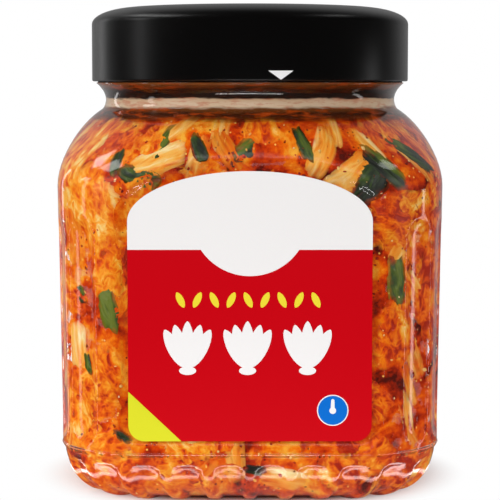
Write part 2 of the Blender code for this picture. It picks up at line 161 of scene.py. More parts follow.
def softMin(a, b, k):
    h = np.clip(0.5 + 0.5 * (b - a) / k, 0, 1)
    return b * (1 - h) + a * h - k * h * (1 - h)


def softMax(a, b, k):
    return -softMin(-a, -b, k)


def halfWidth(z):
    w = wall
    fall = np.clip(1 - z / w["heelRise"], 0, 1)
    heel = w["heelHalf"] - w["heelInset"] * (1 - np.sqrt(1 - fall ** 2))
    body = w["seamHalf"] + lean * (z - w["seamZ"])
    rise = np.clip((z - w["shoulderZ"]) / w["shoulderRise"], 0, 0.999)
    shoulder = w["bodyHalf"] - w["shoulderReach"] * (1 - np.sqrt(1 - rise ** 2))
    neck = w["waistRadius"] + (z - w["waistZ"]) ** 2 / (2 * w["waistBend"])
    result = np.where(z < w["heelRise"], heel, body)
    result = np.where(z > w["shoulderZ"], shoulder, result)
    result = np.where(z > w["neckZ"], neck, result)
    return np.where(z > w["flangeZ"], w["finishRadius"], result)


def cornerShareAt(z):
    turn = smoothStep((z - wall["shoulderZ"]) / (wall["neckZ"] - wall["shoulderZ"]))
    return wall["cornerShare"] + (1 - wall["cornerShare"]) * turn


def directionAt(s):
    side = np.floor(s / quarter)
    along = s - side * quarter
    turn = np.clip((along - flat) / cornerRadius, 0, math.pi / 2)
    onCorner = np.arctan2(flat + cornerRadius * np.sin(turn), flat + cornerRadius * np.cos(turn))
    onFlat = np.arctan2(along, wall["bodyHalf"])
    onNext = math.pi / 2 - np.arctan2(quarter - along, wall["bodyHalf"])
    angle = np.where(along < flat, onFlat, np.where(along > quarter - flat, onNext, onCorner))
    return angle + side * math.pi / 2


def sectionReach(angle, width, share):
    c, t = np.abs(np.cos(angle)), np.abs(np.sin(angle))
    radius = width * share
    straight = width - radius
    big, small = np.maximum(c, t), np.minimum(c, t)
    inCorner = np.sqrt(np.maximum(radius ** 2 - (straight * (big - small)) ** 2, 0))
    return np.where(small * width <= straight * big, width / big, straight * (c + t) + inCorner)


def pastPanel(x, z):
    # distance outside the outline of the panel's floor, negative inside it
    p = panel
    across = np.abs(x)
    up = np.maximum(z - p["springZ"], 0)
    reach = np.maximum(np.hypot(across / p["half"], up / p["arch"]), 1e-6)
    slope = np.hypot(across / p["half"] ** 2, up / p["arch"] ** 2) / reach
    arched = (reach - 1) / np.maximum(slope, 1e-6)
    overX = across - (p["half"] - p["corner"])
    overZ = p["lowZ"] + p["corner"] - z
    square = np.maximum(across - p["half"], p["lowZ"] - z)
    rounded = np.where((overX > 0) & (overZ > 0), np.hypot(overX, overZ) - p["corner"], square)
    return np.where(z > p["springZ"], arched, rounded)


def fluteDepth(s, z):
    f = flute
    along = np.mod(s, 2 * quarter)
    along = np.minimum(along, 2 * quarter - along)
    pitch = quarter / (f["perSide"] - 1)
    start = quarter / 2
    t = along - start
    t = t - pitch * np.round(t / pitch)
    middle = (f["lowZ"] + f["highZ"]) / 2
    run = (f["highZ"] - f["lowZ"]) / 2 - f["half"]
    up = np.maximum(np.abs(z - middle) - run, 0)
    inside = np.maximum(1 - (t / f["half"]) ** 2 - (up / f["half"]) ** 2, 0)
    depth = softMax(f["belly"] * np.sqrt(inside) - (f["belly"] - f["depth"]), 0 * t, f["softness"])
    return np.where(along > start - pitch / 2, depth, 0)


def fromScallop(s):
    # distance round the body from the middle of the nearest scallop
    step = quarter / scallop["perQuarter"]
    return np.abs(np.mod(s, step) - step / 2)


def scallopDepth(s, z):
    t = fromScallop(s)
    top = scallop["topZ"] - scallop["arch"] * (t / scallop["half"]) ** 2
    inside = np.minimum(scallop["half"] - t, top - z)
    return scallop["depth"] * np.sqrt(smoothStep(inside / scallop["edge"]))


def footLift(s, z):
    # how far the foot stands clear of the table between the ribs
    share = smoothStep((scallop["half"] - fromScallop(s)) / scallop["edge"])
    return scallop["lift"] * share * smoothStep(1 - z / scallop["liftTo"])


def wallPoint(s, z, inset=0.0):
    # a point of the outside, or this far behind it, with the flutes, scallops and panels pressed in
    angle = directionAt(s)
    behind = inset + (fluteDepth(s, z) + scallopDepth(s, z))
    reach = sectionReach(angle, halfWidth(z) - behind, cornerShareAt(z))
    x, y = reach * np.sin(angle), -reach * np.cos(angle)
    floor = wall["seamHalf"] + lean * (z - wall["seamZ"]) - panel["depth"] - inset
    rise = softMax(pastPanel(x, z), 0 * z, panel["softness"]) / panel["slope"]
    side = np.where(y < 0, -1.0, 1.0)
    return x, side * softMin(np.abs(y), floor + rise, panel["softness"])


def roundAt(co):
    # how far round the body each point of a turned shape lies
    return (np.arctan2(co[:, 0], -co[:, 1]) % (2 * math.pi)) / (2 * math.pi) * 4 * quarter


def placeVerts(shape, places):
    for vert, place in zip(shape.verts, places):
        vert.co = place
    bmesh.ops.recalc_face_normals(shape, faces=shape.faces)


# the picture: where the camera stands and what it aims at, in metres, and its lens in mm

picture = {
    "distance": 0.7026, "height": 0.1378, "aimZ": 0.0795, "lens": 142.1, "filmWidth": 36, "nearest": 0.05,
}


def makeCamera():
    data = bpy.data.cameras.new("camera")
    camera = bpy.data.objects.new("camera", data)
    look.collection.objects.link(camera)
    camera.location = (0, -picture["distance"], picture["height"])
    aim = Vector((0, 0, picture["aimZ"])) - camera.location
    camera.rotation_euler = aim.to_track_quat("-Z", "Y").to_euler()
    data.lens = picture["lens"]
    data.sensor_width = picture["filmWidth"]
    data.clip_start = picture["nearest"]
    look.camera = camera


lampAim = (0, 0, 0.08)
lamps = {
    # name: place, size, power in watts, and whether it lights, shows in the gloss, or both
    "leftKey": ((-0.90, -0.60, 0.45), (0.45, 0.90), 8.8, "light"),
    "rightFill": ((0.95, -0.50, 0.38), (0.30, 0.80), 4.4, "light"),
    "front": ((0.05, -1.35, 0.75), (0.80, 0.40), 5.0, "light"),
    "overhead": ((-0.60, 0.00, 0.90), (0.36, 0.16), 0.7, "both"),
    "leftStrip": ((-0.97, -0.12, 0.16), (0.09, 0.70), 0.4, "both"),
    "leftRim": ((-0.70, 0.62, 0.16), (0.07, 0.70), 0.35, "both"),
    "rightStrip": ((0.95, 0.10, -0.14), (0.08, 0.46), 0.35, "both"),
    "leftBlob": ((-0.92, 0.00, 0.58), (0.20, 0.16), 0.40, "both"),
    "backLeft": ((-0.62, 0.36, 0.88), (0.26, 0.12), 0.45, "both"),
    "lowFront": ((0.0, -0.55, -0.40), (0.60, 0.06), 0.9, "gloss"),
    "backRight": ((0.58, 0.02, 0.90), (0.30, 0.12), 0.30, "both"),
}


def makeLamps():
    for name, (place, size, power, use) in lamps.items():
        data = bpy.data.lights.new(name, "AREA")
        data.shape = "RECTANGLE"
        data.size, data.size_y = size
        data.energy = power
        lamp = bpy.data.objects.new(name, data)
        look.collection.objects.link(lamp)
        lamp.location = place
        aim = Vector(lampAim) - lamp.location
        lamp.rotation_euler = aim.to_track_quat("-Z", "Y").to_euler()
        lamp.visible_glossy = use != "light"
        lamp.visible_diffuse = use != "gloss"
        lamp.visible_camera = False


# a white sweep behind the jar and a dark room in front of it, which is what the gloss shows

room = {"sweepFrom": 0.35, "sweepTo": 0.9, "dark": 0.03, "sweep": 0.4, "fill": 0.25}


def makeWorld():
    world = bpy.data.worlds.new("studio")
    look.world = world
    world.use_nodes = True
    tree = world.node_tree
    tree.nodes.clear()
    path = tree.nodes.new("ShaderNodeLightPath")
    toward = tree.nodes.new("ShaderNodeTexCoord").outputs["Generated"]
    back = addNode(tree, "ShaderNodeSeparateXYZ", Vector=toward).outputs["Y"]
    sweep = addNode(tree, "ShaderNodeMapRange", {"interpolation_type": "SMOOTHSTEP"}, Value=back,
                    From_Min=room["sweepFrom"], From_Max=room["sweepTo"], To_Min=room["dark"],
                    To_Max=room["sweep"]).outputs[0]
    lit = mathNode(tree, "MULTIPLY", path.outputs["Is Diffuse Ray"], room["fill"])
    seen = mathNode(tree, "MAXIMUM", path.outputs["Is Camera Ray"], path.outputs["Is Transmission Ray"])
    strength = mathNode(tree, "MAXIMUM", seen, mathNode(tree, "MAXIMUM", sweep, lit))
    white = addNode(tree, "ShaderNodeBackground", Color=linearColour("#FFFFFF"), Strength=strength)
    out = tree.nodes.new("ShaderNodeOutputWorld")
    tree.links.new(white.outputs[0], out.inputs["Surface"])
    look.view_settings.view_transform = "Standard"
    look.view_settings.look = "None"


# the floor: matt white acrylic under the jar that fades to a lit white; in the gloss it is dim, apart
# from a narrow lit band close round the foot, which draws the scallops' edges and the parting ridge

table = {
    "radius": 0.15, "sides": 96, "colour": "#F7F6F5", "roughness": 0.6, "specular": 0.2,
    "fadeFrom": 0.052, "fadeTo": 0.078, "bandRise": (0.0653, 0.0668), "bandFall": (0.0698, 0.0682),
    "band": 6.0, "dimmer": -0.9,
}


def makeFloor():
    f = table
    shape = bmesh.new()
    bmesh.ops.create_circle(shape, cap_ends=True, segments=f["sides"], radius=f["radius"])
    material, tree = newMaterial("white acrylic sweep")
    place = tree.nodes.new("ShaderNodeTexCoord").outputs["Object"]
    away = addNode(tree, "ShaderNodeVectorMath", {"operation": "LENGTH"}, i0=place).outputs["Value"]
    fade = addNode(tree, "ShaderNodeMapRange", {"interpolation_type": "SMOOTHSTEP"}, Value=away,
                   From_Min=f["fadeFrom"], From_Max=f["fadeTo"]).outputs[0]
    matt = addNode(tree, "ShaderNodeBsdfPrincipled", Base_Color=linearColour(f["colour"]),
                   Roughness=f["roughness"], Specular_IOR_Level=f["specular"])
    # the band is a rounded square, as the jar is: the fourth root of x^4 + y^4 is the distance
    squared = addNode(tree, "ShaderNodeVectorMath", {"operation": "MULTIPLY"}, i0=place, i1=place).outputs[0]
    beside = mathNode(tree, "SQRT", addNode(tree, "ShaderNodeVectorMath", {"operation": "LENGTH"},
                                            i0=squared).outputs["Value"], 0.0)
    rise, fall = [addNode(tree, "ShaderNodeMapRange", Value=beside, From_Min=low, From_Max=high).outputs[0]
                  for low, high in (f["bandRise"], f["bandFall"])]
    inGloss = mathNode(tree, "MULTIPLY_ADD", mathNode(tree, "MULTIPLY", rise, fall), f["band"], f["dimmer"])
    glossy = tree.nodes.new("ShaderNodeLightPath").outputs["Is Glossy Ray"]
    lit = addNode(tree, "ShaderNodeEmission", Color=linearColour("#FFFFFF"),
                  Strength=mathNode(tree, "MULTIPLY_ADD", glossy, inGloss, 1.0))
    both = addNode(tree, "ShaderNodeMixShader", i0=fade, i1=matt.outputs[0], i2=lit.outputs[0])
    closeMaterial(tree, both.outputs[0])
    floor = pieceFrom("floor", shape, material, None)
    print("camera, lamps, room and floor made")


# clear PET, blow moulded: a water-clear wall whose slightly wavy gloss comes from the mould

pet = {
    "colour": "#FDFDFD", "shadow": "#F4F5F4", "ior": 1.57, "roughness": 0.09,
    "waves": 70.0, "waveHeight": 0.4 * mm, "waveShare": 0.06,   # waves 14 mm across
}


def petMaterial():
    material, tree = newMaterial("clear blow-moulded PET")
    place = tree.nodes.new("ShaderNodeTexCoord").outputs["Object"]
    swell = addNode(tree, "ShaderNodeTexNoise", Vector=place, Scale=pet["waves"], Detail=2.0).outputs[0]
    bump = addNode(tree, "ShaderNodeBump", Height=swell, Strength=pet["waveShare"],
                   Distance=pet["waveHeight"])
    glass = addNode(tree, "ShaderNodeBsdfPrincipled", Base_Color=linearColour(pet["colour"]),
                    Roughness=pet["roughness"], IOR=pet["ior"], Transmission_Weight=1.0,
                    Normal=bump.outputs[0])
    # light passes straight through for shadows and soft light, so that the kimchi is lit as in a thin wall
    clear = addNode(tree, "ShaderNodeBsdfTransparent", Color=linearColour(pet["shadow"]))
    path = tree.nodes.new("ShaderNodeLightPath")
    soft = mathNode(tree, "MAXIMUM", path.outputs["Is Shadow Ray"], path.outputs["Is Diffuse Ray"])
    both = addNode(tree, "ShaderNodeMixShader", i0=soft, i1=glass.outputs[0], i2=clear.outputs[0])
    closeMaterial(tree, both.outputs[0])
    return material


jarMesh = {
    "columns": 472, "heelRows": 20, "ridgeStep": 0.12 * mm, "lowRows": 10, "bodyRows": 9,
    "fluteTop": 8.0 * mm, "highRows": 18, "rowStep": 1.0 * mm, "shoulderRows": 14, "neckRows": 11,
}


def jarHeights():
    # the rows of the wall, close together where the ridge, the flutes' ends and the panels' arches lie
    w, m = wall, jarMesh
    heel = [w["heelRise"] * (1 - math.cos(math.pi / 2 * i / m["heelRows"])) for i in range(m["heelRows"])]
    ridge = [w["seamZ"] + m["ridgeStep"] * i for i in range(-5, 7)] + [w["seamZ"] + 1.2 * mm]
    low = [w["seamZ"] + 1.8 * mm + m["rowStep"] * i for i in range(m["lowRows"])]
    reach = flute["highZ"] - m["fluteTop"] - low[-1]
    middle = [low[-1] + reach * (i + 1) / m["bodyRows"] for i in range(m["bodyRows"])]
    high = [middle[-1] + m["rowStep"] * (i + 1) for i in range(m["highRows"])]
    high = [z for z in high if z < w["shoulderZ"]] + [w["shoulderZ"]]
    top, count = math.asin((w["neckZ"] - w["shoulderZ"]) / w["shoulderRise"]), m["shoulderRows"]
    shoulder = [w["shoulderZ"] + w["shoulderRise"] * math.sin(top * i / count) for i in range(1, count)]
    rise, count = w["flangeZ"] - w["neckZ"], m["neckRows"]
    neck = [w["neckZ"] + rise * i / count for i in range(count + 1)]
    return heel + ridge + low + middle + high + shoulder + neck


def makeJar(material):
    w = wall
    foot = float(halfWidth(np.array(0.0)))
    base = [(0, w["pushUp"]), (foot * 0.25, w["pushUp"] * 0.98), (foot * 0.5, w["pushUp"] * 0.8),
            (foot * 0.68, w["pushUp"] * 0.35), (foot - w["footRing"], 0.0), (foot - w["footRing"] / 2, 0.0)]
    finish = [(w["finishRadius"], z) for z in (w["flangeZ"] + 0.2 * mm, 150.0 * mm, w["mouthZ"])]
    profile = base + [(float(halfWidth(np.array(z))), z) for z in jarHeights()] + finish
    shape = spinProfile(profile, jarMesh["columns"])
    co = np.array([v.co for v in shape.verts])
    radius, s, z = np.hypot(co[:, 0], co[:, 1]), roundAt(co), co[:, 2]
    onWall = (radius > foot - 0.01 * mm) & (z <= w["flangeZ"] + 0.01 * mm)
    x, y = wallPoint(s, z)
    reach = radius * sectionReach(directionAt(s), 1.0, cornerShareAt(z))
    x = np.where(onWall, x, reach * np.sin(directionAt(s)))
    y = np.where(onWall, y, -reach * np.cos(directionAt(s)))
    placeVerts(shape, np.stack([x, y, z + footLift(s, z)], axis=1))
    outside = list(shape.verts)
    bmesh.ops.solidify(shape, geom=list(shape.faces), thickness=w["thickness"])
    # the parting ridge stands on the outside alone
    for vert, height in zip(outside, z):
        off = (height - w["seamZ"]) / w["seamWide"]
        if abs(off) < 3:
            push = w["seamRidge"] * math.exp(-off * off)
            vert.co.xy = vert.co.xy + vert.co.xy.normalized() * push
    bmesh.ops.recalc_face_normals(shape, faces=shape.faces)
    jar = pieceFrom("jarShell", shape, material, "clear_plastic")
    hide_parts("jar", "neck")
    print("jar:", len(jar.data.polygons), "faces")


# the lid: injection-moulded polypropylene, black with a soft gloss and a faint orange peel

cap = {
    "radius": 55.8 * mm, "lowZ": 139.5 * mm, "topZ": 165.3 * mm, "edgeIn": 15.5 * mm, "edgeDown": 5.8 * mm,
    "dish": 0.5 * mm, "wall": 1.8 * mm, "seal": 3.0 * mm, "sealGap": 0.3 * mm, "gap": 0.6 * mm,
    "steps": 180, "edgeSteps": 14, "sharpOver": 50,
    "colour": "#050404", "ior": 1.49, "smoothest": 0.26, "roughest": 0.36, "peel": 900.0,   # about 1 mm
    "mark": {"x": 10.2 * mm, "half": 4.2 * mm, "highZ": 142.9 * mm, "lowZ": 139.9 * mm, "ink": 0.06 * mm},
}


def lidMaterial():
    material, tree = newMaterial("black injection-moulded polypropylene")
    place = tree.nodes.new("ShaderNodeTexCoord").outputs["Object"]
    peel = addNode(tree, "ShaderNodeTexNoise", Vector=place, Scale=cap["peel"], Detail=3.0).outputs[0]
    rough = addNode(tree, "ShaderNodeMapRange", Value=peel, To_Min=cap["smoothest"], To_Max=cap["roughest"])
    bump = addNode(tree, "ShaderNodeBump", Height=peel, Strength=0.02, Distance=0.05 * mm)
    shader = addNode(tree, "ShaderNodeBsdfPrincipled", Base_Color=linearColour(cap["colour"]),
                     Roughness=rough.outputs[0], IOR=cap["ior"], Normal=bump.outputs[0])
    closeMaterial(tree, shader.outputs[0])
    return material


def makeLid(material, ink):
    c = cap
    rim = c["radius"] - c["edgeIn"]
    floorZ = c["topZ"] - c["dish"]
    profile = [(0, floorZ), (rim * 0.6, floorZ), (rim - 4 * mm, floorZ)]
    profile += [(rim - 3 * mm, c["topZ"] - 0.4 * mm), (rim - 1.5 * mm, c["topZ"] - 0.08 * mm)]
    for i in range(c["edgeSteps"] + 1):
        turn = math.pi / 2 * i / c["edgeSteps"]
        drop = c["edgeDown"] * (1 - math.cos(turn))
        profile.append((rim + c["edgeIn"] * math.sin(turn), c["topZ"] - drop))
    profile += [(c["radius"], c["topZ"] - 12 * mm), (c["radius"], c["lowZ"] + 0.7 * mm)]
    profile += [(c["radius"] - 0.1 * mm, c["lowZ"] + 0.25 * mm), (c["radius"] - 0.5 * mm, c["lowZ"])]
    inside, sealZ = wall["finishRadius"] + c["gap"], wall["mouthZ"] + c["sealGap"]
    profile += [(inside + 0.3 * mm, c["lowZ"]), (inside, c["lowZ"] + 0.3 * mm), (inside, sealZ)]
    profile += [(inside - c["seal"], sealZ), (rim, floorZ - c["wall"]), (0, floorZ - c["wall"])]
    shape = spinProfile(profile, c["steps"])
    bmesh.ops.recalc_face_normals(shape, faces=shape.faces)
    lid = pieceFrom("screwLid", shape, material, "black_plastic")
    lid.data.set_sharp_from_angle(angle=math.radians(c["sharpOver"]))
    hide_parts("lid")
    # the white pointer printed on the skirt: a grid bent to the skirt's radius
    m = c["mark"]
    shape = bmesh.new()
    bmesh.ops.create_grid(shape, x_segments=12, y_segments=2, size=1)
    radius = c["radius"] + m["ink"]
    for vert in shape.verts:
        drop = (1 - vert.co.y) / 2
        turn = (m["x"] + vert.co.x * m["half"] * (1 - drop)) / radius
        height = m["highZ"] + (m["lowZ"] - m["highZ"]) * drop
        vert.co = (radius * math.sin(turn), -radius * math.cos(turn), height)
    bmesh.ops.remove_doubles(shape, verts=shape.verts, dist=0.001 * mm)
    bmesh.ops.recalc_face_normals(shape, faces=shape.faces)
    pointer = pieceFrom("lidPointer", shape, ink, "black_plastic", smooth=False)
    skin = pointer.modifiers.new("ink", "SOLIDIFY")
    skin.thickness = m["ink"] + 0.1 * mm
    skin.offset = -1
    print("lid made")


# the label: a white film with flat fields of ink over it, laid in the front panel

label = {
    "half": 39.9 * mm, "lowZ": 21.7 * mm, "springZ": 94.0 * mm, "topZ": 110.4 * mm, "corner": 5.3 * mm,
    "thickness": 0.3 * mm, "gap": 0.3 * mm, "ink": 0.04 * mm, "fieldZ": 84.8 * mm,
    "bulgeZ": 95.4 * mm, "bulge": 19.2 * mm, "patchUp": 16.5 * mm, "patchAlong": 17.4 * mm,
    "discX": 27.1 * mm, "discZ": 32.0 * mm, "disc": 4.8 * mm, "ring": 0.35 * mm,
    "leafRowZ": 68.4 * mm, "leafRowTall": 5.6 * mm, "leafRowWide": 2.3 * mm, "leafRowTurn": 0.45,
    "leafRowFrom": -22.7 * mm, "leafRowTo": 21.5 * mm, "leaves": 9,
    "bigZ": 53.0 * mm, "bigTall": 18.8 * mm, "bigWide": 17.6 * mm,
    "bigAcross": (-20.4 * mm, -0.8 * mm, 18.8 * mm),
    "white": "#F7F4F3", "red": "#CB0010", "lime": "#DEDD2B", "yellow": "#F4E03A", "blue": "#0A6ED1",
    "roughness": 0.42, "specular": 0.12, "grain": 2500.0, "grainShare": 0.04,   # print grain of 0.4 mm
}


def inkMaterial(name, code):
    # ink on the label's film or on the lid: a flat colour with a satin surface and hardly any gloss
    material, tree = newMaterial(name)
    place = tree.nodes.new("ShaderNodeTexCoord").outputs["Object"]
    grain = addNode(tree, "ShaderNodeTexNoise", Vector=place, Scale=label["grain"], Detail=2.0)
    mixed = addNode(tree, "ShaderNodeMix", {"data_type": "RGBA", "blend_type": "MULTIPLY"},
                    i0=label["grainShare"], i6=linearColour(code), i7=grain.outputs[1])
    bump = addNode(tree, "ShaderNodeBump", Height=grain.outputs[0], Strength=0.03, Distance=0.03 * mm)
    shader = addNode(tree, "ShaderNodeBsdfPrincipled", Base_Color=mixed.outputs[2],
                     Roughness=label["roughness"], Specular_IOR_Level=label["specular"],
                     Normal=bump.outputs[0])
    closeMaterial(tree, shader.outputs[0])
    return material


def arc(cx, cz, radius, first, last, steps, stretch=1.0):
    turns = [math.radians(first + (last - first) * i / steps) for i in range(steps + 1)]
    return [(cx + radius * math.cos(t), cz + radius * stretch * math.sin(t)) for t in turns]


def labelCorner(side):
    # one rounded lower corner of the label, left for -1 and right for 1
    c = label["corner"]
    first = 225 + 45 * side
    return arc(side * (label["half"] - c), label["lowZ"] + c, c, first, first + 90, 8)


def sheetPiece(name, outlines, front, thickness, material):
    # outlines in the label's plane, their backs at the depth front, pushed forward by thickness
    shape = bmesh.new()
    faces = [shape.faces.new([shape.verts.new((x, 0, z)) for x, z in outline]) for outline in outlines]
    shape.normal_update()
    for face in faces:
        if face.normal.y > 0:
            face.normal_flip()
    made = bmesh.ops.extrude_face_region(shape, geom=faces)
    moved = [v for v in made["geom"] if isinstance(v, bmesh.types.BMVert)]
    bmesh.ops.translate(shape, verts=moved, vec=(0, -thickness, 0))
    bmesh.ops.recalc_face_normals(shape, faces=shape.faces)
    for vert in shape.verts:
        vert.co.y -= front + lean * (vert.co.z - wall["seamZ"])
    return pieceFrom(name, shape, material, "label_film", smooth=False)


def leafShape(x, z, long, wide, turn):
    # a pointed oval round its middle
    points, steps, cosine, sine = [], 24, math.cos(turn), math.sin(turn)
    for i in range(steps):
        t = 2 * math.pi * i / steps
        across, along = wide / 2 * math.sin(t) * abs(math.sin(t)) ** 0.3, long / 2 * math.cos(t)
        points.append((x + across * cosine - along * sine, z + across * sine + along * cosine))
    return points


def cabbage(x, z, tall, wide):
    # the plain sign of a napa cabbage: five leaves that fan out of a short base
    fans = [(-0.62, 0.50, 0.86), (0.62, 0.50, 0.86), (-0.32, 0.27, 0.94), (0.32, 0.27, 0.94), (0.0, 0.0, 1.0)]
    shapes = []
    for turn, off, share in fans:
        side = math.copysign(off, turn) if turn else 0.0
        low = z + tall * 0.02 - abs(off) * tall * 0.10
        shapes.append(leafShape(x + side * wide * 0.5, low, tall * share * 0.86, wide * 0.25, -turn * 0.75))
    shapes.append(arc(x, z - tall * 0.42, wide * 0.16, 0, 352, 22, 0.5))
    return shapes


def makeLabel():
    b = label
    back = wall["seamHalf"] - panel["depth"] + b["gap"]
    first = back + b["thickness"]
    second = first + b["ink"]
    white = inkMaterial("white BOPP label film", b["white"])
    foot = labelCorner(-1) + labelCorner(1)
    crown = arc(0, b["springZ"], b["half"], 0, 180, 72, (b["topZ"] - b["springZ"]) / b["half"])
    film = sheetPiece("labelFilm", [foot + crown], back, b["thickness"], white)
    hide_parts("label")
    # the red field's upper edge dips round a bulge of the white above it
    chord = math.degrees(math.asin((b["bulgeZ"] - b["fieldZ"]) / b["bulge"]))
    dip = arc(0, b["bulgeZ"], b["bulge"], -chord, -180 + chord, 40)
    field = foot + [(b["half"], b["fieldZ"])] + dip + [(-b["half"], b["fieldZ"])]
    sheetPiece("redField", [field], first, b["ink"], inkMaterial("red flexo ink", b["red"]))
    left = -b["half"]
    patch = labelCorner(-1) + [(left + b["patchAlong"], b["lowZ"]), (left, b["lowZ"] + b["patchUp"])]
    sheetPiece("limeCorner", [patch], second, b["ink"], inkMaterial("lime flexo ink", b["lime"]))
    ring, disc = [arc(b["discX"], b["discZ"], b["disc"] + more, 0, 350, 35) for more in (b["ring"], 0)]
    sheetPiece("whiteRing", [ring], second, b["ink"], white)
    sheetPiece("blueDisc", [disc], second + b["ink"], b["ink"], inkMaterial("blue flexo ink", b["blue"]))
    bulb = arc(b["discX"], b["discZ"] - 0.1 * mm, 1.1 * mm, 125, 415, 16)
    tube = arc(b["discX"], b["discZ"] + 3.2 * mm, 0.55 * mm, 0, 180, 8)
    sheetPiece("thermometer", [bulb + tube], second + 2 * b["ink"], b["ink"], white)
    step = (b["leafRowTo"] - b["leafRowFrom"]) / (b["leaves"] - 1)
    row = [leafShape(b["leafRowFrom"] + step * i, b["leafRowZ"], b["leafRowTall"], b["leafRowWide"],
                     b["leafRowTurn"] * (-1) ** i) for i in range(b["leaves"])]
    sheetPiece("leafRow", row, second, b["ink"], inkMaterial("yellow flexo ink", b["yellow"]))
    for i, x in enumerate(b["bigAcross"]):
        # each leaf a hair in front of the last, so that no two faces share a plane
        for j, outline in enumerate(cabbage(x, b["bigZ"], b["bigTall"], b["bigWide"])):
            sheetPiece(f"cabbage{i}leaf{j}", [outline], second + 0.01 * mm * j, b["ink"], white)
    print("label made")


# kimchi: a core of sauce that wets the wall, with leaves, stems, greens and flakes pressed through it

heap = {
    "lowZ": 0.85 * mm, "topZ": 127.0 * mm, "mound": 10.0 * mm, "core": 0.80 * mm, "lumps": 0.16 * mm,
    "contact": 0.42 * mm, "columns": 430, "rows": 96, "pieces": 270, "tries": 5, "stemShare": 0.26,
    "greenShare": 0.09, "flakes": 1500, "garlicBitsAndGlints": 900, "paintedShadeToRight": 0.6, "seed": 11,
}


def noiseOf(points, scale, octaves=1, offset=0.0):
    # noise at each point; each octave is twice as fine as the last and half as strong
    total = np.zeros(len(points))
    for octave in range(octaves):
        grow = scale * 2 ** octave
        found = [noise.noise((p[0] * grow + offset, p[1] * grow, p[2] * grow)) for p in points]
        total += np.array(found) / 2 ** octave
    return total


def underWall(s, z, depth):
    # points this far behind the wall, lifted with the foot
    x, y = wallPoint(s, np.clip(z, 0.0, wall["flangeZ"]), depth)
    return np.stack([x, y, z + footLift(s, z)], axis=1)


def storeOn(mesh, name, values):
    flatValues = np.asarray(values, np.float32)
    kind, key = ("FLOAT_VECTOR", "vector") if flatValues.ndim == 2 else ("FLOAT", "value")
    mesh.attributes.new(name, kind, "POINT").data.foreach_set(key, flatValues.ravel())


def makeCore(material):
    # a turned shape whose side is then laid behind the wall; base and top list radii and shares of a rise
    h, w = heap, wall
    foot = w["heelHalf"] - w["heelInset"] - w["footRing"]
    base = [(0, 1), (foot * 0.3, 1), (foot * 0.6, 0.8), (foot * 0.85, 0.3), (foot, 0)]
    profile = [(radius, h["lowZ"] + w["pushUp"] * rise) for radius, rise in base]
    profile += [(0.07, h["lowZ"] + (h["topZ"] - h["lowZ"]) * i / h["rows"]) for i in range(h["rows"] + 1)]
    top = [(0.040, 0.35), (0.034, 0.55), (0.028, 0.7), (0.020, 0.85), (0.010, 0.95), (0, 1.0)]
    profile += [(radius, h["topZ"] + h["mound"] * rise) for radius, rise in top]
    shape = spinProfile(profile, h["columns"])
    co = np.array([v.co for v in shape.verts])
    s, z = roundAt(co), co[:, 2]
    onWall = np.hypot(co[:, 0], co[:, 1]) > 0.065
    lump = noiseOf(underWall(s, z, 0 * s), 220, 3)
    places = underWall(s, z, h["core"] - h["lumps"] * lump)
    places[~onWall] = co[~onWall]
    places[~onWall, 2] += footLift(s, z)[~onWall]
    mound = ~onWall & (z > h["topZ"])
    places[mound, 2] += 2.5 * mm * noiseOf(co[mound], 60, 3)
    placeVerts(shape, places)
    core = pieceFrom("sauceCore", shape, material, "kimchi")
    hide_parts("kimchi")
    print("core:", len(co), "points")


def templateFrom(shape):
    # the points and faces of a small shape, for scatterOnWall to lay out many times
    shape.verts.index_update()
    co = np.array([v.co for v in shape.verts])
    faces = [[v.index for v in face.verts] for face in shape.faces]
    shape.free()
    return {"co": co, "faces": faces, "lift": 0 * co[:, 0], "edge": 0 * co[:, 0]}


def sheetTemplate(length, width, thick, cells, uneven, rng):
    # a sheet of this size with an uneven outline, its front at 0 and its back at -thick
    shape = bmesh.new()
    across = max(3, round(cells * width / max(length, width)))
    along = max(3, round(cells * length / max(length, width)))
    bmesh.ops.create_grid(shape, x_segments=across, y_segments=along, size=1)
    bmesh.ops.solidify(shape, geom=list(shape.faces), thickness=0.001)
    template = templateFrom(shape)
    co = template["co"]
    u, v = co[:, 0].copy(), co[:, 1].copy()
    roundness = rng.uniform(0.25, 0.5)
    uu, vv = u * (1 - roundness * v ** 2) ** 0.5, v * (1 - roundness * u ** 2) ** 0.5
    angle = np.arctan2(vv, uu)
    rim = np.stack([np.cos(angle), np.sin(angle), 0 * angle], axis=1)
    start = rng.uniform(0, 50)
    grow = 1 + uneven * noiseOf(rim, 1.3, 1, start) + 0.5 * uneven * noiseOf(rim, 4.5, 1, start)
    template["edge"] = np.maximum(np.abs(u), np.abs(v))
    co[:, 2] = np.where(co[:, 2] < co[:, 2].mean(), -thick, 0.0)
    co[:, 0] = uu * grow * width / 2
    co[:, 1] = vv * grow * length / 2
    return template


def leafTemplate(length, width, folds, curl, cells, rng, thick=0.5 * mm, uneven=0.4):
    # lift is how far a point stands toward the wall: folds and creases, less the curl of the rim
    template = sheetTemplate(length, width, thick, cells, uneven, rng)
    sheet = template["co"] * (1 / mm, 0.8 / mm, 0)
    start = rng.uniform(0, 90)
    crease = 1 - 2.4 * np.abs(noiseOf(sheet, 0.19, 1, start + 9))
    template["lift"] = folds * (noiseOf(sheet, 0.10, 1, start) + 0.35 * crease)
    template["lift"] -= curl * smoothStep((template["edge"] - 0.55) / 0.45)
    return template


def stemTemplate(length, width, thick, rng):
    # a thick sheet with faint ribs along it that falls away at its sides and ends
    template = sheetTemplate(length, width, thick, 15, 0.12, rng)
    co = template["co"]
    across = np.clip(co[:, 0] / (width / 2), -1, 1)
    template["lift"] = -0.5 * mm * across ** 4 + 0.10 * mm * np.cos(across * 11 + rng.uniform(0, 6))
    template["lift"] -= 0.5 * mm * smoothStep((template["edge"] - 0.8) / 0.2)
    return template


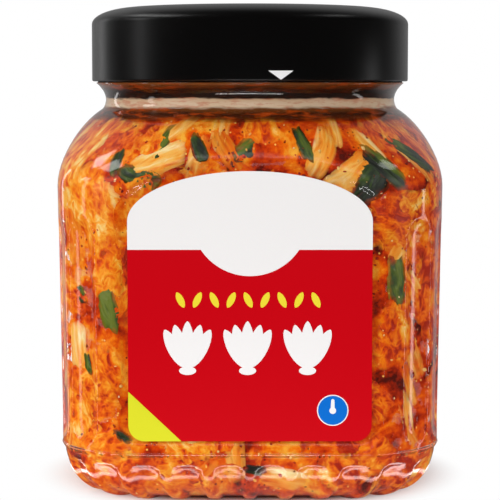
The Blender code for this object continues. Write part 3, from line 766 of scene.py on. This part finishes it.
def flakeTemplate(size, rng):
    # a flat chip with five to seven corners
    shape = bmesh.new()
    bmesh.ops.create_circle(shape, cap_ends=True, segments=rng.choice((5, 6, 7)), radius=size / 2)
    for vert in shape.verts:
        vert.co *= rng.uniform(0.6, 1.2)
    bmesh.ops.scale(shape, vec=(1, rng.uniform(0.5, 1.0), 1), verts=shape.verts)
    bmesh.ops.solidify(shape, geom=list(shape.faces), thickness=0.12 * mm)
    template = templateFrom(shape)
    template["co"][:, 2] -= template["co"][:, 2].max()
    return template


def scatterOnWall(name, picks, material):
    # one joined mesh of templates laid on the wall; a pick is template, s, z, turn, size, base, front, tint:
    # base is how far its middle lies behind the wall, and front how far its nearest point keeps off contact
    places, faces, deep, grain, tints = [], [], [], [], []
    first = 0
    for number, (template, s0, z0, turn, size, base, front, tint) in enumerate(picks):
        co = template["co"] * size
        c, t = math.cos(turn), math.sin(turn)
        s = s0 + co[:, 0] * c - co[:, 1] * t
        z = np.clip(z0 + co[:, 0] * t + co[:, 1] * c, heap["lowZ"] + 0.2 * mm, heap["topZ"] + 1.5 * mm)
        face = softMax(base - template["lift"] * size, 0 * s + heap["contact"] + front, 0.2 * mm)
        places.append(underWall(s, z, face - co[:, 2]))
        faces += [[i + first for i in corners] for corners in template["faces"]]
        deep.append(face / mm + 0.35 * template["edge"] ** 2)
        grain.append(np.stack([co[:, 0] / mm, co[:, 1] / mm, np.full(len(co), number * 13.7)], axis=1))
        # pieces round on the right get a lower tint, darker and redder: painted shade, as of light from the
        # left
        tints.append(np.full(len(co), tint - heap["paintedShadeToRight"] * np.sin(s0 / (4 * quarter) * 2 * math.pi)))
        first += len(co)
    mesh = bpy.data.meshes.new(name)
    mesh.from_pydata(np.concatenate(places).tolist(), [], faces)
    shape = bmesh.new()
    shape.from_mesh(mesh)
    bpy.data.meshes.remove(mesh)
    bmesh.ops.recalc_face_normals(shape, faces=shape.faces)
    made = pieceFrom(name, shape, material, "kimchi")
    storeOn(made.data, "deep", np.concatenate(deep))
    storeOn(made.data, "grain", np.concatenate(grain))
    storeOn(made.data, "tint", np.concatenate(tints))
    print(name, len(made.data.polygons), "faces")


# red pepper sauce with coarse flakes: patches 10 mm, grains 2 mm and flakes 1.6 mm across, painted paler
# toward the left and darker toward the right as light and shade

sauceLook = {
    "patches": 95.0, "patchShare": 1.35, "grains": 480.0, "grainShare": 0.5, "level": -0.39,
    "paintedLightToLeft": -1.4, "flakes": 620.0, "redOver": 0.85, "paleUnder": 0.16,
    "stops": [(0.24, "#4E0A00"), (0.36, "#9A1E00"), (0.46, "#CC3600"), (0.56, "#E45400"), (0.67, "#F37C0A"),
              (0.82, "#FCB13A")],
    "redFlake": "#5E0C00", "paleFlake": "#FFC25C",
    "roughness": 0.35, "specular": 0.15, "bumpShare": 0.7, "bumpHeight": 0.5 * mm,
}
brineIor = 1.36    # salty water


def sauceColour(tree):
    # the same colour at a place in every material, so that a leaf runs into the sauce without an edge
    k = sauceLook
    place = tree.nodes.new("ShaderNodeTexCoord").outputs["Object"]
    broad = addNode(tree, "ShaderNodeTexNoise", Vector=place, Scale=k["patches"], Detail=3.0,
                    Distortion=0.6).outputs[0]
    fine = addNode(tree, "ShaderNodeTexNoise", Vector=place, Scale=k["grains"], Detail=4.0,
                   Roughness=0.65).outputs[0]
    patchy = mathNode(tree, "MULTIPLY_ADD", broad, k["patchShare"], k["level"])
    value = mathNode(tree, "MULTIPLY_ADD", fine, k["grainShare"], patchy)
    # the colour runs paler toward the left and darker toward the right: painted light and shade
    side = addNode(tree, "ShaderNodeSeparateXYZ", Vector=place).outputs["X"]
    colour = ramp(tree, mathNode(tree, "MULTIPLY_ADD", side, k["paintedLightToLeft"], value), k["stops"])
    cells = addNode(tree, "ShaderNodeTexVoronoi", Vector=place, Scale=k["flakes"])
    spot = ramp(tree, cells.outputs["Distance"], [(0.0, 1.0), (0.16, 1.0), (0.26, 0.0)])
    some = addNode(tree, "ShaderNodeSeparateXYZ", Vector=cells.outputs["Color"]).outputs["X"]
    red = mathNode(tree, "MULTIPLY", spot, mathNode(tree, "GREATER_THAN", some, k["redOver"]))
    pale = mathNode(tree, "MULTIPLY", spot, mathNode(tree, "LESS_THAN", some, k["paleUnder"]))
    spotted = mixColour(tree, red, colour, linearColour(k["redFlake"]))
    return mixColour(tree, pale, spotted, linearColour(k["paleFlake"])), fine


def sauceMaterial():
    # wet and grainy, with a low gloss because the wall lies against it
    k = sauceLook
    material, tree = newMaterial("gochugaru sauce")
    colour, fine = sauceColour(tree)
    bump = addNode(tree, "ShaderNodeBump", Height=fine, Strength=k["bumpShare"], Distance=k["bumpHeight"])
    shader = addNode(tree, "ShaderNodeBsdfPrincipled", Base_Color=colour, Roughness=k["roughness"],
                     IOR=brineIor, Specular_IOR_Level=k["specular"], Normal=bump.outputs[0])
    closeMaterial(tree, shader.outputs[0])
    return material


# what lies in the sauce; stops run from its creases to its pale parts, the wrinkles' raised ridges painted
# palest as a highlight, and sauceDeep is how many mm behind the wall sauce takes over

vegetables = {
    "leaf": {
        "name": "pickled napa leaf", "stretch": (1, 0.7, 1), "sauceDeep": 0.80, "subsurface": 0.1,
        "wrinkle": 0.45 * mm, "specular": 0.3,
        "stops": [(0.26, "#A81E00"), (0.38, "#D84200"), (0.49, "#EC6200"), (0.61, "#F6800A"),
                  (0.76, "#FFA428"), (0.94, "#FFD480")],
    },
    "stem": {
        "name": "pickled napa midrib", "stretch": (1, 0.22, 1), "sauceDeep": 0.80, "subsurface": 0.2,
        "wrinkle": 0.25 * mm, "specular": 0.3,
        "stops": [(0.18, "#DE5600"), (0.34, "#F07E12"), (0.52, "#F89C30"), (0.70, "#FCBC5C"),
                  (0.90, "#FFE0A4")],
    },
    "green": {
        "name": "spring onion blade", "stretch": (1, 0.3, 1), "sauceDeep": 0.9, "subsurface": 0.0,
        "wrinkle": 0.4 * mm, "specular": 0.5,
        "stops": [(0.25, "#050A00"), (0.42, "#122003"), (0.58, "#2C4206"), (0.8, "#5F6C18")],
    },
    "flake": {
        "name": "red chilli flake", "stretch": (1, 1, 1), "sauceDeep": 2.0, "subsurface": 0.0,
        "wrinkle": 0.45 * mm, "specular": 0.3,
        "stops": [(0.3, "#6E0D03"), (0.5, "#A51A05"), (0.75, "#D23A0C")],
    },
    # pale glossy bits: minced garlic, which also stand in for the brine's glints as painted highlights
    "garlic": {
        "name": "minced garlic and painted glints", "stretch": (1, 1, 1), "sauceDeep": 2.0, "subsurface": 0.0,
        "wrinkle": 0.1 * mm, "specular": 0.6,
        "stops": [(0.3, "#F2A03C"), (0.6, "#FBCB7C"), (0.8, "#FDE5B4")],
    },
}


def vegetableMaterial(kind):
    # wet cut vegetable: blotches 6 mm and creases 2.6 mm across, drawn in the piece's own millimetres
    v = vegetables[kind]
    material, tree = newMaterial(v["name"])
    grain = addNode(tree, "ShaderNodeAttribute", {"attribute_name": "grain"}).outputs["Vector"]
    deep = addNode(tree, "ShaderNodeAttribute", {"attribute_name": "deep"}).outputs["Fac"]
    tint = addNode(tree, "ShaderNodeAttribute", {"attribute_name": "tint"}).outputs["Fac"]
    drawn = addNode(tree, "ShaderNodeMapping", Vector=grain, Scale=v["stretch"]).outputs[0]
    blotch = addNode(tree, "ShaderNodeTexNoise", Vector=drawn, Scale=0.16, Detail=3.0,
                     Distortion=0.9).outputs[0]
    weave = addNode(tree, "ShaderNodeTexNoise", Vector=drawn, Scale=0.38, Detail=2.0, Roughness=0.5,
                    Distortion=0.5).outputs[0]
    off = mathNode(tree, "ABSOLUTE", mathNode(tree, "SUBTRACT", weave, 0.5), 0.0)
    crease = mathNode(tree, "MULTIPLY_ADD", off, -3.2, 1.0)
    # the wrinkles' raised ridges, which the bump lifts, are painted paler: a painted highlight
    creased = mathNode(tree, "MULTIPLY_ADD", crease, 0.42, -0.49)
    value = mathNode(tree, "MULTIPLY_ADD", blotch, 1.35, creased)
    colour = ramp(tree, mathNode(tree, "MULTIPLY_ADD", tint, 0.12, value), v["stops"])
    sauce, fine = sauceColour(tree)
    mark = mathNode(tree, "MULTIPLY_ADD", weave, 0.9, mathNode(tree, "MULTIPLY_ADD", fine, 0.25, deep))
    share = addNode(tree, "ShaderNodeMapRange", Value=mark, From_Min=v["sauceDeep"] + 0.4,
                    From_Max=v["sauceDeep"] + 1.0).outputs[0]
    height = mathNode(tree, "MULTIPLY_ADD", fine, 0.2, crease)
    bump = addNode(tree, "ShaderNodeBump", Height=height, Strength=0.6, Distance=v["wrinkle"])
    shader = addNode(tree, "ShaderNodeBsdfPrincipled", Base_Color=mixColour(tree, share, colour, sauce),
                     Roughness=0.3, IOR=brineIor, Specular_IOR_Level=v["specular"],
                     Subsurface_Weight=v["subsurface"], Subsurface_Scale=0.8 * mm, Normal=bump.outputs[0])
    shader.inputs["Subsurface Radius"].default_value = (2.0, 0.8, 0.2)
    closeMaterial(tree, shader.outputs[0])
    return material


# pieces that the front shows clearly: kind, s, z, turn in degrees, size, tint
shownPieces = [
    ("leaf", -54.0, 98.0, 25, 1.6, 1.0), ("leaf", -47.0, 78.0, 0, 1.2, 0.2),
    ("leaf", 47.0, 93.0, 80, 1.05, -0.2), ("leaf", -50.0, 44.0, 10, 1.0, 0.4),
    ("leaf", 50.0, 58.0, 0, 1.1, 0.1), ("leaf", -26.0, 11.0, 90, 1.0, -0.4),
    ("stem", 25.0, 116.2, -32, 1.1, 0.9), ("stem", 33.5, 108.8, -58, 1.0, 0.9),
    ("stem", -31.0, 113.8, -70, 0.95, 1.1), ("stem", 63.0, 113.5, 30, 0.8, 0.8),
    ("stem", 12.0, 9.0, 80, 1.0, 0.3), ("stem", -62.0, 52.0, 2, 1.0, 0.3),
    ("green", -46.8, 112.6, 20, 0.75, 0.0), ("green", -36.5, 108.2, 70, 1.2, 0.2),
    ("green", -47.6, 66.1, 15, 1.15, 2.4), ("green", 38.8, 104.9, -40, 1.7, -0.2),
    ("green", 46.8, 110.6, 42, 1.5, -0.3), ("green", 63.0, 115.6, 50, 1.2, -0.2),
    ("green", 49.1, 74.8, 8, 1.2, 2.4), ("green", -43.2, 23.0, 60, 0.6, -0.8),
    ("green", -17.7, 117.6, 30, 0.8, -0.2), ("green", 18.4, 119.2, 20, 0.8, 0.5),
    ("green", 2.0, 12.0, 80, 0.5, -0.6), ("green", -57.5, 46.0, 12, 0.5, 0.2),
]


def makeKimchi():
    rng = random.Random(heap["seed"])
    makeCore(sauceMaterial())
    kinds = {
        "leaf": [leafTemplate(rng.uniform(20, 32) * mm, rng.uniform(14, 22) * mm, 0.75 * mm, 0.8 * mm, 17,
                              rng) for i in range(9)],
        "stem": [stemTemplate(rng.uniform(18, 28) * mm, rng.uniform(8, 13) * mm, 1.2 * mm, rng)
                 for i in range(6)],
        "green": [leafTemplate(rng.uniform(12, 16) * mm, rng.uniform(5.5, 7.5) * mm, 0.3 * mm, 0.15 * mm,
                               12, rng, 0.4 * mm, 0.3) for i in range(5)],
        "flake": [flakeTemplate(rng.uniform(0.7, 1.9) * mm, rng) for i in range(8)],
    }
    bases = {"leaf": (0.50, 0.80), "stem": (0.50, 0.75), "green": (0.45, 0.75), "flake": (0.3, 0.3)}
    picks = {"leaf": [], "stem": [], "green": [], "flake": [], "garlic": []}

    def pick(kind, s, z, turn, size, base, tint, kindOf=None):
        picks[kind].append((rng.choice(kinds[kindOf or kind]), s, z, turn, size, base * mm,
                            rng.uniform(0, 0.14) * mm, tint))

    for kind, s, z, turn, size, tint in shownPieces:
        pick(kind, s * mm, z * mm, math.radians(turn), size, bases[kind][0], tint)
    taken = [(s * mm, z * mm) for kind, s, z, turn, size, tint in shownPieces if kind != "green"]
    for number in range(heap["pieces"]):
        # of a few places the one farthest from the pieces that are there, so that none of the wall stays bare
        tries = [(rng.uniform(-2, 2) * quarter, rng.uniform(2, 127) * mm) for i in range(heap["tries"])]
        s, z = max(tries, key=lambda at: min(math.hypot(at[0] - s, at[1] - z) for s, z in taken))
        taken.append((s, z))
        kind = "stem" if rng.random() < heap["stemShare"] else "leaf"
        turn = rng.gauss(0, 0.45 if kind == "stem" else 1.0)
        size = rng.uniform(0.75, 1.1) if kind == "stem" else rng.uniform(0.7, 1.45)
        pick(kind, s, z, turn, size, rng.uniform(*bases[kind]), rng.uniform(-1, 1))
        if rng.random() < heap["greenShare"]:
            pick("green", s + 6 * mm, z, rng.uniform(0, 3.1), rng.uniform(0.5, 1.1),
                 rng.uniform(*bases["green"]), rng.uniform(-0.8, 0.8))
    # the garlic bits are also painted glints
    for kind, count in (("flake", heap["flakes"]), ("garlic", heap["garlicBitsAndGlints"])):
        for i in range(count):
            pick(kind, rng.uniform(0, 4 * quarter), rng.uniform(2, 127) * mm, rng.uniform(0, 6.3),
                 rng.uniform(0.5, 1.1), rng.uniform(0.4, 0.8), rng.uniform(-1, 1), "flake")
    for name, kind in (("napaLeaves", "leaf"), ("napaStems", "stem"), ("greenBlades", "green"),
                       ("chilliFlakes", "flake"), ("garlicBitsAndGlints", "garlic")):
        scatterOnWall(name, picks[kind], vegetableMaterial(kind))


# a thin film of sauce and brine on the inside of the shoulder and the neck, whose bands also paint the dark
# shade of the headspace under the lid and a pale painted highlight round the neck

film = {
    "lowZ": 122.0 * mm, "highZ": 139.0 * mm, "depth": 0.50 * mm, "thickness": 0.2 * mm, "rows": 26,
    "columns": 300, "bandsFrom": 0.1240, "bandsTo": 0.1410, "wave": 0.003, "smear": "#BE480E",
    # colour, share of smears and cover, each over the height from bandsFrom to bandsTo; the dark brown and
    # near-black colours are painted shade, the pale ones at 0.50 to 0.64 a painted highlight
    "colourShadeAndHighlight": [(0.0, "#A8441A"), (0.16, "#5A2408"), (0.36, "#3C1808"), (0.45, "#6A3A18"), (0.50, "#DCC0A2"),
                (0.64, "#D6B492"), (0.67, "#2A160B"), (0.80, "#0E0603"), (0.86, "#4A220C"), (1.0, "#A05A26")],
    "smears": [(0.0, 1.0), (0.42, 0.8), (0.50, 0.5), (0.65, 0.5), (0.68, 0.06), (0.82, 0.1), (0.90, 0.9)],
    "cover": [(0.0, 0.0), (0.20, 0.1), (0.34, 0.85), (0.42, 0.95), (0.5, 0.85), (1.0, 0.95)],
}


def filmMaterial():
    # bands of brine and sauce, of painted shade and of a painted highlight, with 14 mm waves and 8 mm smears,
    # all five times as wide as they are tall
    f = film
    material, tree = newMaterial("smeared sauce film with painted shade and highlight")
    place = tree.nodes.new("ShaderNodeTexCoord").outputs["Object"]
    flatter = addNode(tree, "ShaderNodeMapping", Vector=place, Scale=(1, 1, 5)).outputs[0]
    wave = addNode(tree, "ShaderNodeTexNoise", Vector=flatter, Scale=70.0, Detail=5.0,
                   Roughness=0.7).outputs[0]
    smear = addNode(tree, "ShaderNodeTexNoise", Vector=flatter, Scale=130.0, Detail=6.0,
                    Roughness=0.75).outputs[0]
    level = addNode(tree, "ShaderNodeSeparateXYZ", Vector=place).outputs["Z"]
    bent = mathNode(tree, "MULTIPLY_ADD", wave, f["wave"], level)
    high = addNode(tree, "ShaderNodeMapRange", Value=bent, From_Min=f["bandsFrom"],
                   From_Max=f["bandsTo"]).outputs[0]
    # the dark bands are painted shade of the headspace under the lid, and the pale band is a painted
    # highlight on the neck
    colour = ramp(tree, high, f["colourShadeAndHighlight"])
    some = ramp(tree, high, f["smears"])
    patch = mathNode(tree, "MULTIPLY", some, ramp(tree, smear, [(0.50, 0.0), (0.60, 0.9)]))
    mixed = mixColour(tree, patch, colour, linearColour(f["smear"]))
    cover = ramp(tree, high, f["cover"])
    shader = addNode(tree, "ShaderNodeBsdfPrincipled", Base_Color=mixed, Roughness=0.3, IOR=brineIor,
                     Specular_IOR_Level=0.1, Alpha=cover)
    closeMaterial(tree, shader.outputs[0])
    return material


def makeFilm(material):
    f = film
    rows = [f["lowZ"] + (f["highZ"] - f["lowZ"]) * i / f["rows"] for i in range(f["rows"] + 1)]
    shape = spinProfile([(0.07, z) for z in rows], f["columns"])
    co = np.array([v.co for v in shape.verts])
    placeVerts(shape, underWall(roundAt(co), co[:, 2], f["depth"]))
    made = pieceFrom("sauceFilmWithPaintedShade", shape, material, "kimchi")
    skin = made.modifiers.new("film", "SOLIDIFY")
    skin.thickness = f["thickness"]
    skin.offset = -1
    print("film made")


makeCamera()
makeLamps()
makeWorld()
makeFloor()
makeJar(petMaterial())
makeLid(lidMaterial(), inkMaterial("white pad-printing ink", "#F4F4F4"))
makeLabel()
makeKimchi()
makeFilm(filmMaterial())
